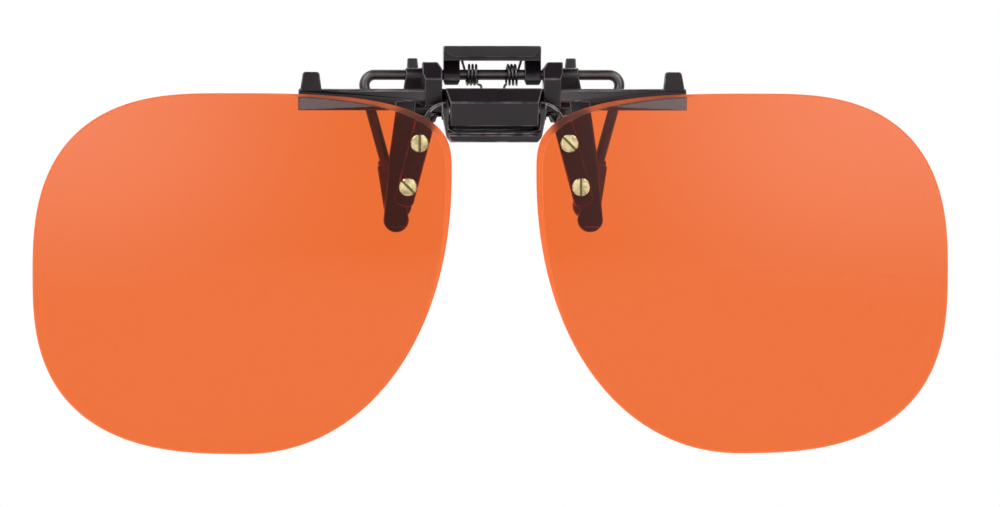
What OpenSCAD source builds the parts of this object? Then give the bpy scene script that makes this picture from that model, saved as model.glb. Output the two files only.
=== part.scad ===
// Clip-on filter glasses: two rimless tinted lenses on a flip-up carrier, and a sprung clamp
// that holds on to the upper inner edges of a pair of spectacle lenses.
// X runs across the face, -Y is the side that faces the onlooker, +Z is up.
// The origin lies between the claws, on the plane where they touch the spectacle lenses.

/* [Lenses] */
// Width of one lens
lens_w = 59.1; // [57:0.1:61]
// Height of one lens
lens_h = 51; // [49:0.1:53]
// Least distance between the two lenses
nose_gap = 12; // [11.6:0.1:12.4]
// Thickness of a lens
lens_t = 2; // [1.8:0.1:2.2]
// Radius of the hollow rear surface of a lens
lens_curve_r = 200; // [190:5:260]
// Width of the polished slope on the lens edge, at the screws
edge_slope_w = 1; // [0.6:0.1:1.2]

/* [Lens screws] */
// Diameter of a screw head
screw_head_d = 2.5; // [2.2:0.1:2.6]
// Height of a screw head
screw_head_h = 0.55; // [0.45:0.05:0.7]
// Diameter of a screw shank
screw_shank_d = 1.4; // [1.2:0.1:1.5]
// Distance between the two screws of a lens
screw_spacing = 6.36; // [6:0.1:6.6]

/* [Lens carrier] */
// Width of the plate that a lens is screwed to
plate_w = 2.8; // [2.6:0.1:3]
// Thickness of that plate
plate_t = 1.25; // [1.1:0.05:1.4]
// Slope of the plate away from upright, in degrees
plate_tilt = 14.9; // [14:0.1:16]
// Radius of the arched arm over each plate
arm_arch_r = 3.57; // [3.4:0.01:3.7]

/* [Flip hinge] */
// Diameter of the flip pin
flip_pin_d = 1.2; // [1:0.1:1.4]
// Diameter of the carrier's hubs on that pin
hub_d = 2.6; // [2.4:0.1:2.6]
// Width of the finger block over its main face
block_w = 12.5; // [12:0.1:12.6]
// Height of the finger block
block_h = 5.4; // [5:0.1:5.5]
// Height of the finger lip under the block
lip_h = 1.35; // [1.1:0.05:1.5]

/* [Clip body] */
// Length of the rail
rail_w = 55; // [53:0.5:56]
// Height of the rail
rail_h = 3.1; // [2.9:0.1:3.3]
// Thickness of the claws, front to back
claw_t = 2.1; // [2:0.05:2.3]
// Width of the claw's round tip
claw_tip_w = 3.55; // [3.3:0.05:3.8]
// Drop of the claw's tip below the rail
claw_drop = 17.2; // [16.5:0.1:17.8]

/* [Sprung clamp] */
// Diameter of the clamp wire
wire_d = 1.5; // [1.4:0.05:1.6]
// Greatest distance from the middle to a leg of the wire
leg_reach = 18.1; // [17.6:0.1:18.5]
// Lean of each leg away from upright, in degrees
leg_lean = 15.5; // [15:0.1:16]
// Length of a soft shoe
shoe_l = 8.1; // [7.5:0.1:8.5]
// Width of a soft shoe
shoe_w = 3.9; // [3.6:0.1:4.1]
// Width of the thumb lever
lever_w = 13.86; // [13.5:0.02:14]
// Rise of the thumb lever above the wire
lever_rise = 4.1; // [3.9:0.1:4.4]
// Diameter of the spring wire
spring_wire_d = 0.36; // [0.3:0.01:0.38]
// Whole turns of each spring
spring_turns = 3; // [2:1:3]

/* [Hidden] */
$fn = 64;
cut = 0.5;
tight = 0.01;
running = 0.05;
hole_play = 0.08;

// The wire's own line is the height that the rest is measured from.
wire_r = wire_d / 2;
wire_z = 16.5;
rail_rear = 0.5;
rest_y = rail_rear + 0.3;
wire_y = rail_rear + 0.35 + wire_r;

// Rail and claws
rail_top = wire_z - 2;
rail_bottom = rail_top - rail_h;
rail_front = 1.1 - claw_t;
rail_half = rail_w / 2;
crease_z = rail_bottom + 1.35;
face_lean = 0.2;
wedge_l = rail_half - 11.5;
wedge_depth = 0.42;
wedge_cut = 2 * rail_h;
claw_front = -claw_t;
claw_tip_r = claw_tip_w / 2;
claw_tip_x = 13.73;
claw_side = 6;
brace_h = 1.6;
brace_out = 9.4;
claw_waist = 1.28;
claw_neck_z = rail_bottom - 0.41 * claw_drop;
claw_bend_z = rail_bottom - 0.28 * claw_drop;
claw_shoulder_z = rail_bottom - 0.34 * claw_drop;
claw_tip_z = rail_bottom - claw_drop + claw_tip_r;

// Lens carrier, front to back
plate_rear = claw_front - 0.4;
plate_front = plate_rear - plate_t;
lens_rear = plate_front - 0.15;
lens_front = lens_rear - lens_t;
screw_top = [10.55, 6.7];
screw_low = screw_top + screw_spacing * [sin(plate_tilt), -cos(plate_tilt)];
seat = (screw_top + screw_low) / 2;
shank_r = screw_shank_d / 2;
plate_above = 4;
plate_below = 2.75;

// Flip hinge
flip_y = lens_rear - 0.1;
flip_z = rail_bottom - 0.1;
pin_r = flip_pin_d / 2;
hub_r = hub_d / 2;
block_half = block_w / 2;
hub_in = block_half + 0.15;
hub_out = hub_in + 1;
arch_chamfer = 0.4;
block_bottom = rail_top - block_h;
block_flare = 0.6;
brow_z = rail_top - 2.05;
lip_top = block_bottom - 0.9;
lip_bottom = lip_top - lip_h;
lip_half = block_half + 0.25;
lip_step = 0.33;
lip_front = flip_y - 2.3;
web_rear = flip_y + 2.4;

// Thumb lever, pillars and saddles on the wire
lever_half = lever_w / 2;
lug_in = lever_half - 2.33;
lug_drop = wire_r + 0.85;
lever_top = wire_z + lever_rise;
lever_under = wire_z + 2;
lever_front = wire_y - 1.5;
hollow_r = 3;
hollow_y = wire_y + hollow_r + 2.25;
pillar_front = rail_front - 0.55;
pillar_in = lever_half + 0.24;
pillar_out = pillar_in + 2.8;
saddle_out = pillar_out + 2.65;
saddle_r = 1.05;

// Clamp wire
bend_r = 1.5;
bend_swell = 0.015;
bend_lap = 0.1;
bend_x = leg_reach - bend_r;
leg_top = [bend_x + bend_r * cos(leg_lean), wire_z - bend_r - bend_r * sin(leg_lean)];
shoe_top_z = 3.9;
shoe_start = (leg_top[1] - shoe_top_z) / cos(leg_lean);
socket_l = 5.5;
shoe_front = 0.2;

// Lens outline: the four extreme points, and how full each corner is
lens_in = nose_gap / 2;
lens_out = lens_in + lens_w;
lens_top = wire_z - 2.72;
lens_bottom = lens_top - lens_h;
crown_x = lens_in + 0.555 * lens_w;
foot_x = lens_in + 0.5 * lens_w;
cheek_z = lens_top - 0.508 * lens_h;
nose_z = lens_top - 0.22 * lens_h;
corner_steps = 18;
edge_slope_d = 1.4;
lens_reach = lens_out - seat[0];
lens_depth = lens_curve_r - sqrt(pow(lens_curve_r, 2) - pow(lens_reach, 2)) + 2 * lens_t;

// Springs
spring_r = 1.4;
spring_in = 1.6;
spring_out = 4.2;
curl_rings = 8;
strand_sides = 6;
foot_y = -0.9;

// A profile of [y, z] points, run along X.
module along_x(x0, x1) {
    translate([x0, 0, 0])
        rotate([90, 0, 90])
            linear_extrude(x1 - x0)
                children();
}

// An outline of [x, z] points, run along Y.
module along_y(y0, y1) {
    translate([0, y1, 0])
        rotate([90, 0, 0])
            linear_extrude(y1 - y0)
                children();
}

module both_sides() {
    children();
    mirror([1, 0, 0])
        children();
}

module rod_x(r, x0, x1, y, z) {
    translate([x0, y, z])
        rotate([0, 90, 0])
            cylinder(r = r, h = x1 - x0);
}

module rod_y(r, y0, y1, x, z) {
    translate([x, y1, z])
        rotate([90, 0, 0])
            cylinder(r = r, h = y1 - y0);
}

// Clip body: rail, claws, pillars, saddles, tabs and finger block in one moulding

// How far back the rail's front face lies, above the crease that runs along it.
function face_y(z) = rail_front + (z - crease_z) * face_lean;

module rail() {
    nick = 0.25;
    difference() {
        along_x(-rail_half, rail_half)
            polygon([
                [rail_front + 0.4, rail_bottom],
                [rail_front, crease_z],
                [face_y(rail_top - nick), rail_top - nick],
                [face_y(rail_top) + nick, rail_top],
                [rail_rear - nick, rail_top],
                [rail_rear, rail_top - nick],
                [rail_rear, rail_bottom + nick],
                [rail_rear - nick, rail_bottom]
            ]);
        both_sides()
            rail_wedge();
    }
}

// The flat that is cut on the rail's front, deepest at the rail's end and gone at the claw.
module rail_wedge() {
    turn = atan(wedge_depth / wedge_l);
    translate([rail_half - wedge_l, rail_front, crease_z])
        rotate([2, 0, turn])
            translate([0, -wedge_cut, -wedge_cut])
                cube([wedge_l + wedge_cut, wedge_cut, 2 * wedge_cut]);
}

module claw() {
    intersection() {
        along_y(claw_front - 1, 1)
            claw_outline();
        along_x(claw_tip_x - claw_side, claw_tip_x + claw_side)
            polygon([
                [rail_front + 0.05, crease_z],
                [claw_front, rail_bottom - 1.7],
                [claw_front, claw_tip_z - claw_tip_r + 0.7],
                [claw_front + 0.5, claw_tip_z - claw_tip_r],
                [-0.3, claw_tip_z - claw_tip_r],
                [0, claw_tip_z - claw_tip_r + 0.4],
                [0, rail_bottom - 0.6],
                [0.3, rail_bottom + 0.3],
                [0.3, crease_z]
            ]);
    }
}

module claw_outline() {
    translate([claw_tip_x, claw_tip_z])
        circle(claw_tip_r);
    polygon([
        [claw_tip_x - claw_tip_r + 0.02, claw_tip_z + 0.1],
        [claw_tip_x - claw_waist, claw_tip_z + 2.2],
        [claw_tip_x - claw_waist, claw_neck_z],
        [claw_tip_x - claw_waist - 0.06, claw_neck_z + 0.5],
        [claw_tip_x - claw_waist - 0.25, claw_neck_z + 1.2],
        [claw_tip_x - claw_waist - 0.6, claw_bend_z],
        [claw_tip_x - claw_waist - 1, claw_bend_z + 1],
        [claw_tip_x - claw_waist - 1.35, claw_bend_z + 2.4],
        [claw_tip_x - claw_waist - 1.65, rail_top - 0.6],
        [claw_tip_x + 0.27, rail_top - 0.6],
        [claw_tip_x + 0.07, rail_bottom],
        [claw_tip_x + 0.87, claw_shoulder_z],
        [claw_tip_x + 1.52, claw_tip_z + 2.9],
        [claw_tip_x + claw_tip_r - 0.02, claw_tip_z + 0.1]
    ]);
}

// A thin web under the rail that stiffens it from the claw to the finger block.
module brace() {
    low = block_bottom + 0.2;
    along_y(rail_front - 0.2, rail_front + 0.5)
        polygon([
            [block_half - 0.5, rail_bottom + 0.5],
            [block_half - 0.5, low],
            [block_half + 0.5, low],
            [block_half + 0.95, rail_bottom - 0.9],
            [block_half + 1.65, rail_bottom - 0.9],
            [block_half + 1.95, rail_bottom - brace_h - 0.1],
            [brace_out + 1.5, rail_bottom - brace_h - 0.1],
            [brace_out + 2, rail_bottom + 0.5]
        ]);
}

// The pillar carries the wire in a bore, and its inner top corner is cut off.
module pillar() {
    intersection() {
        along_x(pillar_in, pillar_out)
            polygon([
                [rail_front + 0.2, rail_bottom + 0.3],
                [rail_front - 0.1, rail_bottom + 0.9],
                [pillar_front, wire_z - 0.64],
                [pillar_front + 1.1, wire_z + 1.8],
                [wire_y + 1.3, wire_z + 1.8],
                [wire_y + 1.7, wire_z + 1.4],
                [wire_y + 1.7, wire_z - 1.5],
                [rail_rear, rail_bottom + 1]
            ]);
        along_y(pillar_front - 1, wire_y + 3)
            polygon([
                [pillar_in, rail_bottom],
                [pillar_in, wire_z + 0.85],
                [pillar_in + 0.65, wire_z + 1.8],
                [pillar_out, wire_z + 1.8],
                [pillar_out, wire_z + 0.2],
                [pillar_out - 0.3, wire_z - 0.64],
                [pillar_out - 0.3, rail_bottom]
            ]);
    }
}

// The saddle is a boss round the wire on a web that leans back from the rail. Its tab stands up
// behind the wire.
module saddle() {
    rod_x(saddle_r, pillar_out - 0.5, saddle_out - 0.35, wire_y, wire_z);
    intersection() {
        along_x(pillar_out - 0.5, saddle_out)
            polygon([
                [0, rail_top - 0.5],
                [0, rail_top],
                [wire_y - saddle_r + 0.1, wire_z - 0.3],
                [wire_y + 1.8, wire_z - 0.3],
                [wire_y + 1.8, wire_z - 1.3],
                [rail_rear, rail_bottom + 1]
            ]);
        along_y(-1, wire_y + 2)
            polygon([
                [pillar_out - 0.5, rail_bottom],
                [pillar_out - 0.5, wire_z],
                [saddle_out - 0.35, wire_z],
                [saddle_out, rail_top],
                [saddle_out, rail_bottom]
            ]);
    }
    along_y(wire_y + 0.9, wire_y + 1.8)
        polygon([
            [pillar_out + 0.3, wire_z - 0.4],
            [pillar_out + 0.6, wire_z + 2.4],
            [pillar_out + 2, wire_z + 2.4],
            [pillar_out + 2.15, wire_z - 0.4]
        ]);
}

// The tab carries the rail's leaning face on upwards. Its rear is the rest for a spectacle rim.
module outer_tab() {
    tab_x = rail_half - 1.8;
    tab_top = wire_z + 0.4;
    foot_z = rail_bottom + 0.5;
    intersection() {
        along_x(tab_x - 2, tab_x + 2)
            polygon([
                [face_y(rail_top - 0.5), rail_top - 0.5],
                [face_y(tab_top), tab_top],
                [rest_y, tab_top],
                [rest_y, foot_z],
                [rest_y - 0.6, foot_z],
                [rest_y - 0.6, rail_top - 0.5]
            ]);
        along_y(rail_front - 1, rest_y)
            polygon([
                [tab_x - 1.5, foot_z],
                [tab_x - 1.5, rail_top - 0.4],
                [tab_x - 1.2, tab_top - 0.25],
                [tab_x - 0.95, tab_top],
                [tab_x + 0.95, tab_top],
                [tab_x + 1.2, tab_top - 0.25],
                [tab_x + 1.6, rail_top - 0.4],
                [tab_x + 1.6, foot_z]
            ]);
    }
}

module finger_block() {
    intersection() {
        along_x(-block_half - 1, block_half + 1)
            polygon([
                [rail_rear - 0.6, rail_top],
                [flip_y - 0.6, rail_top],
                [flip_y - 2.7, brow_z],
                [flip_y - 1.7, block_bottom],
                [flip_y + 1, block_bottom],
                [rail_front + 0.1, rail_bottom],
                [rail_rear - 0.6, rail_bottom + 0.2]
            ]);
        along_y(flip_y - 3 * hub_r, rail_rear)
            polygon([
                [-block_half - block_flare, rail_top],
                [block_half + block_flare, rail_top],
                [block_half, brow_z],
                [block_half, block_bottom],
                [-block_half, block_bottom],
                [-block_half, brow_z]
            ]);
    }
}

module clip_body() {
    color([0.17, 0.16, 0.17])
        difference() {
            union() {
                rail();
                finger_block();
                both_sides() {
                    claw();
                    brace();
                    pillar();
                    saddle();
                    outer_tab();
                }
            }
            rod_x(wire_r + running, -saddle_out - cut, saddle_out + cut, wire_y, wire_z);
            rod_x(pin_r + running, -block_half - cut, block_half + cut, flip_y, flip_z);
        }
}

// Lens carrier: hubs, cheeks, finger lip, arched arms and lens plates in one moulding

module hub() {
    rod_x(hub_r, hub_in, hub_out, flip_y, flip_z);
}

// The cheek hangs from the hub beside the block and meets the lip.
module cheek() {
    intersection() {
        along_x(lip_half - 2, hub_out + 0.2)
            polygon([
                [flip_y - hub_r, flip_z],
                [flip_y - 1.5, lip_top],
                [flip_y - 1.5, lip_bottom],
                [web_rear, lip_bottom],
                [web_rear, lip_top + 0.55],
                [web_rear - 0.8, lip_top + 0.55],
                [flip_y + hub_r, flip_z]
            ]);
        along_y(flip_y - 3, web_rear + 1)
            polygon([
                [hub_in, flip_z],
                [hub_out + 0.05, flip_z],
                [lip_half + 0.2, lip_top - 0.65],
                [lip_half - 0.4, lip_bottom],
                [lip_half - 1.2, lip_bottom],
                [lip_half - 1.2, lip_top],
                [hub_in, lip_top + 0.55]
            ]);
    }
}

module lip() {
    corner = 0.7;
    along_y(lip_front, flip_y - 0.9)
        polygon([
            [-lip_half, lip_top - lip_step],
            [lip_half, lip_top - lip_step],
            [lip_half, lip_bottom + corner],
            [lip_half - 0.2, lip_bottom + 0.2],
            [lip_half - corner, lip_bottom],
            [-lip_half + corner, lip_bottom],
            [-lip_half + 0.2, lip_bottom + 0.2],
            [-lip_half, lip_bottom + corner]
        ]);
    along_x(-lip_half, lip_half)
        polygon([
            [lip_front + 0.45, lip_top - corner],
            [lip_front + 0.45, lip_top],
            [flip_y - 0.9, lip_top],
            [flip_y - 0.9, lip_top - corner]
        ]);
    along_x(-lip_half + 0.05, lip_half - 0.05)
        polygon([
            [flip_y - 1.2, lip_top],
            [flip_y - 1.2, lip_top - 0.9],
            [web_rear, lip_top - 0.9],
            [web_rear, lip_top + 1.15],
            [web_rear - 0.8, lip_top + 0.55],
            [web_rear - 0.8, lip_top]
        ]);
}

// The arm arches from the hub to the plate, with a chamfered front edge and a thinner web
// under the arch.
module arm() {
    arch = [hub_in + 0.2, flip_z + hub_r - arm_arch_r];
    band = 0.6;
    intersection() {
        along_y(flip_y - 0.7, plate_rear)
            arch_band(arch, band, hub_in, arch[0] + 2.5);
        translate([arch[0], flip_y - 0.7, arch[1]])
            rotate([-90, 0, 0]) {
                cylinder(r1 = arm_arch_r - arch_chamfer, r2 = arm_arch_r, h = arch_chamfer);
                translate([0, 0, arch_chamfer])
                    cylinder(r = arm_arch_r, h = 3);
            }
    }
    along_y(plate_front, plate_rear)
        arch_band(arch, band, hub_in, arch[0] + 3.4);
    along_y(plate_front + 0.2, plate_rear - 0.3)
        intersection() {
            translate(arch)
                circle(arm_arch_r - band / 2);
            polygon([
                [hub_in, flip_z + hub_r],
                [arch[0] + arm_arch_r, flip_z + hub_r],
                [arch[0] + arm_arch_r, flip_z - hub_r - 0.2],
                [hub_in + 2.1, flip_z - hub_r - 0.4],
                [hub_in + 1.35, flip_z - 0.5],
                [hub_in + 0.9, flip_z - 0.5],
                [hub_in, flip_z - hub_r]
            ]);
        }
}

// The outer rim of a circle, kept between two places across.
module arch_band(centre, band, x0, x1) {
    intersection() {
        difference() {
            translate(centre)
                circle(arm_arch_r);
            translate(centre)
                circle(arm_arch_r - band);
        }
        translate([x0, centre[1] + 0.9])
            square([x1 - x0, arm_arch_r]);
    }
}

module lens_plate() {
    half = plate_w / 2;
    round_r = 0.9;
    low = -screw_spacing - plate_below;
    translate([screw_top[0], plate_rear, screw_top[1]])
        rotate([0, -plate_tilt, 0])
            rotate([90, 0, 0])
                linear_extrude(plate_t) {
                    polygon([
                        [-half, low + round_r],
                        [-half, plate_above - 1.4],
                        [-half + 0.8, plate_above],
                        [half - 0.5, plate_above],
                        [half, plate_above - 0.6],
                        [half, low + round_r],
                        [half - round_r, low],
                        [-half + round_r, low]
                    ]);
                    for (side = [-1, 1])
                        translate([side * (half - round_r), low + round_r])
                            circle(round_r);
                }
}

module lens_carrier() {
    color([0.2, 0.19, 0.2])
        difference() {
            union() {
                lip();
                both_sides() {
                    hub();
                    cheek();
                    arm();
                    lens_plate();
                }
            }
            rod_x(pin_r + tight, -hub_out - 1, hub_out + 1, flip_y, flip_z);
            both_sides()
                for (place = [screw_top, screw_low])
                    rod_y(shank_r + tight, plate_front - cut, plate_rear + cut, place[0], place[1]);
        }
}

module flip_pin() {
    color([0.6, 0.6, 0.62])
        rod_x(pin_r, -hub_out, hub_out, flip_y, flip_z);
}

// Lenses

// One corner of the outline, from the side of the lens towards its top or bottom.
function corner(side, end, full) = [
    for (i = [0 : corner_steps - 1])
        let (turn = 90 * i / corner_steps)
        [
            end[0] + (side[0] - end[0]) * pow(cos(turn), 2 / full),
            side[1] + (end[1] - side[1]) * pow(sin(turn), 2 / full)
        ]
];

// The same corner, run from the top or bottom towards the side.
function corner_back(side, end, full) = [
    for (i = [0 : corner_steps - 1])
        let (turn = 90 - 90 * i / corner_steps)
        [
            end[0] + (side[0] - end[0]) * pow(cos(turn), 2 / full),
            side[1] + (end[1] - side[1]) * pow(sin(turn), 2 / full)
        ]
];

nose = [lens_in, nose_z];
crown = [crown_x, lens_top];
cheek_side = [lens_out, cheek_z];
foot = [foot_x, lens_bottom];
lens_outline = concat(
    corner(nose, crown, 3.15),
    corner_back(cheek_side, crown, 2.7),
    corner(cheek_side, foot, 2.7),
    corner_back(nose, foot, 2.13)
);
lens_middle = [(lens_in + lens_out) / 2, (lens_top + lens_bottom) / 2];

// A taper that is as wide as the outline edge_slope_d behind the lens's foremost point, and
// narrower by edge_slope_w in front of that. It bevels the edge where the lens reaches forward.
module edge_slope() {
    rate = edge_slope_w / edge_slope_d / (lens_w / 2);
    wide = 1 + rate * lens_depth;
    slim = 1 - rate * (edge_slope_d + cut);
    translate([lens_middle[0], lens_front + edge_slope_d + lens_depth, lens_middle[1]])
        rotate([90, 0, 0])
            linear_extrude(lens_depth + edge_slope_d + cut, scale = slim / wide)
                scale(wide)
                    translate(-lens_middle)
                        polygon(lens_outline);
}

module lens() {
    ball_y = lens_rear + lens_curve_r;
    difference() {
        intersection() {
            along_y(lens_front - cut, lens_front + lens_depth)
                polygon(lens_outline);
            edge_slope();
            translate([seat[0], ball_y, seat[1]])
                sphere(lens_curve_r + lens_t, $fn = 200);
        }
        translate([seat[0], ball_y, seat[1]])
            sphere(lens_curve_r, $fn = 200);
        for (place = [screw_top, screw_low])
            rod_y(shank_r + hole_play, lens_front - cut, lens_rear + cut, place[0], place[1]);
    }
}

module lens_left() {
    color([0.93, 0.45, 0.24, 0.7])
        mirror([1, 0, 0])
            lens();
}

module lens_right() {
    color([0.93, 0.45, 0.24, 0.7])
        lens();
}

// Lens screws

module lens_screw(place, slot_turn) {
    top = lens_front - screw_head_h;
    color([0.85, 0.75, 0.45])
        translate([place[0], 0, place[1]])
            difference() {
                union() {
                    rod_y(shank_r, top + 0.2, plate_rear, 0, 0);
                    rod_y(screw_head_d / 2, top + 0.15, lens_front, 0, 0);
                    rod_y(screw_head_d / 2 - 0.15, top, top + 0.2, 0, 0);
                }
                rotate([0, -slot_turn, 0])
                    translate([-screw_head_d, top - 1, -0.18])
                        cube([2 * screw_head_d, 1.3, 0.36]);
            }
}

module screw_upper_left() {
    lens_screw([-screw_top[0], screw_top[1]], 90);
}

module screw_lower_left() {
    lens_screw([-screw_low[0], screw_low[1]], -45);
}

module screw_upper_right() {
    lens_screw(screw_top, -45);
}

module screw_lower_right() {
    lens_screw(screw_low, 90);
}

// Clamp wire: one straight run on the hinge line, a bend and a leaning leg at each end

// A place on a leg, the given length down from where the bend ends.
module down_leg(s) {
    translate([leg_top[0], wire_y, leg_top[1]])
        rotate([0, leg_lean, 0])
            translate([0, 0, -s])
                children();
}

module clamp_wire() {
    color([0.36, 0.32, 0.31]) {
        rod_x(wire_r, -bend_x - bend_lap, bend_x + bend_lap, wire_y, wire_z);
        both_sides() {
            translate([bend_x, wire_y, wire_z - bend_r])
                rotate([90, 0, 0])
                    rotate([0, 0, -leg_lean])
                        rotate_extrude(angle = 90 + leg_lean)
                            translate([bend_r, 0])
                                circle(wire_r + bend_swell);
            down_leg(shoe_start + socket_l)
                cylinder(r = wire_r, h = shoe_start + socket_l + bend_lap);
        }
    }
}

// Soft shoes on the wire's ends

module shoe() {
    round_r = shoe_w / 2;
    color([0.24, 0.2, 0.2])
        difference() {
            union() {
                intersection() {
                    down_leg(shoe_start)
                        translate([0, 2, 0])
                            rotate([90, 0, 0])
                                linear_extrude(4) {
                                    polygon([
                                        [-1.25, 0],
                                        [1.25, 0],
                                        [round_r - 0.02, -shoe_l + round_r + 0.3],
                                        [round_r - 0.02, -shoe_l + round_r],
                                        [-round_r + 0.02, -shoe_l + round_r],
                                        [-round_r + 0.02, -shoe_l + round_r + 0.3]
                                    ]);
                                    translate([0, -shoe_l + round_r])
                                        circle(round_r);
                                }
                    along_x(leg_top[0] - shoe_l, leg_top[0] + shoe_l)
                        polygon([
                            [shoe_front + 0.15, shoe_top_z + 1],
                            [shoe_front, shoe_top_z - 1.5],
                            [shoe_front, shoe_top_z - shoe_l + 0.5],
                            [shoe_front + 0.5, shoe_top_z - shoe_l],
                            [wire_y + 0.9, shoe_top_z - shoe_l],
                            [wire_y + 1.5, shoe_top_z - shoe_l + 2],
                            [wire_y + 1.1, shoe_top_z + 1]
                        ]);
                }
                down_leg(shoe_start + 0.3)
                    cylinder(r = wire_r + 0.32, h = 0.9);
            }
            down_leg(shoe_start + socket_l)
                cylinder(r = wire_r + tight, h = socket_l + 2);
        }
}

module shoe_left() {
    mirror([1, 0, 0])
        shoe();
}

module shoe_right() {
    shoe();
}

// Thumb lever: a pad over the springs and two lugs that grip the wire

module lever_pad() {
    along_y(lever_front, lever_front + 1)
        polygon([
            [-lever_half, lever_top - 0.25],
            [-lever_half + 0.25, lever_top],
            [lever_half - 0.25, lever_top],
            [lever_half, lever_top - 0.25],
            [lever_half, lever_under + 1.1],
            [lever_half - 1.48, lever_under + 0.45],
            [-lever_half + 1.48, lever_under + 0.45],
            [-lever_half, lever_under + 1.1]
        ]);
    difference() {
        along_x(-lever_half, lever_half)
            polygon([
                [lever_front + 0.4, lever_under],
                [lever_front + 0.4, lever_top],
                [wire_y + 2.9, lever_top],
                [wire_y + 3.1, lever_top - 0.4],
                [wire_y + 2.1, lever_under]
            ]);
        rod_x(hollow_r, -lever_half - cut, lever_half + cut, hollow_y, lever_under + 0.8);
    }
}

module lever_lug() {
    intersection() {
        along_x(lug_in, lever_half)
            polygon([
                [wire_y - 0.85, lever_under + 0.2],
                [wire_y - 1.2, wire_z - 0.8],
                [wire_y - 0.6, wire_z - 1.45],
                [wire_y + 0.6, wire_z - 1.45],
                [wire_y + 1.2, wire_z - 0.8],
                [wire_y + 1.2, wire_z + 0.9],
                [wire_y + 2.1, lever_under + 0.2]
            ]);
        along_y(wire_y - 3, wire_y + 4)
            polygon([
                [lug_in, lever_under + 0.3],
                [lug_in, wire_z - 0.9],
                [lug_in + 0.3, wire_z - lug_drop],
                [lever_half - 0.3, wire_z - lug_drop],
                [lever_half, wire_z - 0.9],
                [lever_half, lever_under + 0.3]
            ]);
    }
}

module thumb_lever() {
    color([0.16, 0.17, 0.17])
        difference() {
            union() {
                lever_pad();
                both_sides()
                    lever_lug();
            }
            rod_x(wire_r + tight, -lever_half - cut, lever_half + cut, wire_y, wire_z);
            both_sides()
                translate([spring_out, wire_y + spring_r, lever_under - cut])
                    cylinder(r = spring_wire_d / 2 + 0.1, h = cut + 0.9);
        }
}

// Torsion springs round the wire: a foot on the finger block, the turns, and a leg in the lever

// A place on the turns, by the angle from +Y towards +Z.
function turn_point(part) =
    let (angle = -90 + part * (90 + 360 * spring_turns))
    [
        spring_in + part * (spring_out - spring_in),
        wire_y + spring_r * cos(angle),
        wire_z + spring_r * sin(angle)
    ];

turn_rings = ceil((spring_turns + 0.25) * curl_rings);
foot_end = rail_top + 0.02;
strand_z = wire_z - spring_r;
spring_path = concat(
    [
        [spring_in, foot_y, foot_end],
        [spring_in, foot_y, foot_end + spring_wire_d],
        [spring_in, foot_y + 0.12, strand_z - 0.05],
        [spring_in, foot_y + 0.4, strand_z]
    ],
    [for (i = [0 : turn_rings]) turn_point(i / turn_rings)],
    [
        [spring_out, wire_y + spring_r, lever_under + 0.8 - spring_wire_d],
        [spring_out, wire_y + spring_r, lever_under + 0.8]
    ]
);

function unit(v) = v / norm(v);

// The direction of the path at each of its points.
function path_way(path, i) =
    i == 0 ? unit(path[1] - path[0]) :
    i == len(path) - 1 ? unit(path[i] - path[i - 1]) :
    unit(unit(path[i + 1] - path[i]) + unit(path[i] - path[i - 1]));

// A side direction carried along the path, so that the tube doesn't twist.
function path_side(path, i) =
    let (before = i == 0 ? [1, 0, 0] : path_side(path, i - 1), way = path_way(path, i))
    unit(before - way * (before * way));

module strand(path, d) {
    count = len(path);
    rings = [
        for (i = [0 : count - 1])
            let (way = path_way(path, i), side = path_side(path, i), up = cross(way, side))
            for (k = [0 : strand_sides - 1])
                path[i] + d / 2 * (side * cos(360 * k / strand_sides) + up * sin(360 * k / strand_sides))
    ];
    walls = [
        for (i = [0 : count - 2])
            for (k = [0 : strand_sides - 1])
                let (
                    a = i * strand_sides + k,
                    b = i * strand_sides + (k + 1) % strand_sides
                )
                for (face = [[a, a + strand_sides, b], [b, a + strand_sides, b + strand_sides]])
                    face
    ];
    first = [for (k = [1 : strand_sides - 2]) [0, k, k + 1]];
    base = (count - 1) * strand_sides;
    last = [for (k = [1 : strand_sides - 2]) [base, base + k + 1, base + k]];
    polyhedron(points = rings, faces = concat(walls, first, last));
}

module spring() {
    color([0.55, 0.55, 0.57])
        strand(spring_path, spring_wire_d);
}

module spring_left() {
    mirror([1, 0, 0])
        spring();
}

module spring_right() {
    spring();
}

// Least gap between one stretch of a spring and a stretch half a turn or more away
fine = [for (i = [0 : 24 * (spring_turns + 0.25)]) turn_point(i / (24 * (spring_turns + 0.25)))];
spring_gap = min([
    for (i = [0 : len(fine) - 1])
        for (j = [i + 12 : 1 : len(fine) - 1])
            norm(fine[i] - fine[j])
]) - spring_wire_d;
echo(str("least gap of a spring to itself, mm: ", spring_gap));

clip_body();
flip_pin();
lens_carrier();
lens_left();
lens_right();
screw_upper_left();
screw_lower_left();
screw_upper_right();
screw_lower_right();
clamp_wire();
thumb_lever();
shoe_left();
shoe_right();
spring_left();
spring_right();
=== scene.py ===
import math

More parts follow.
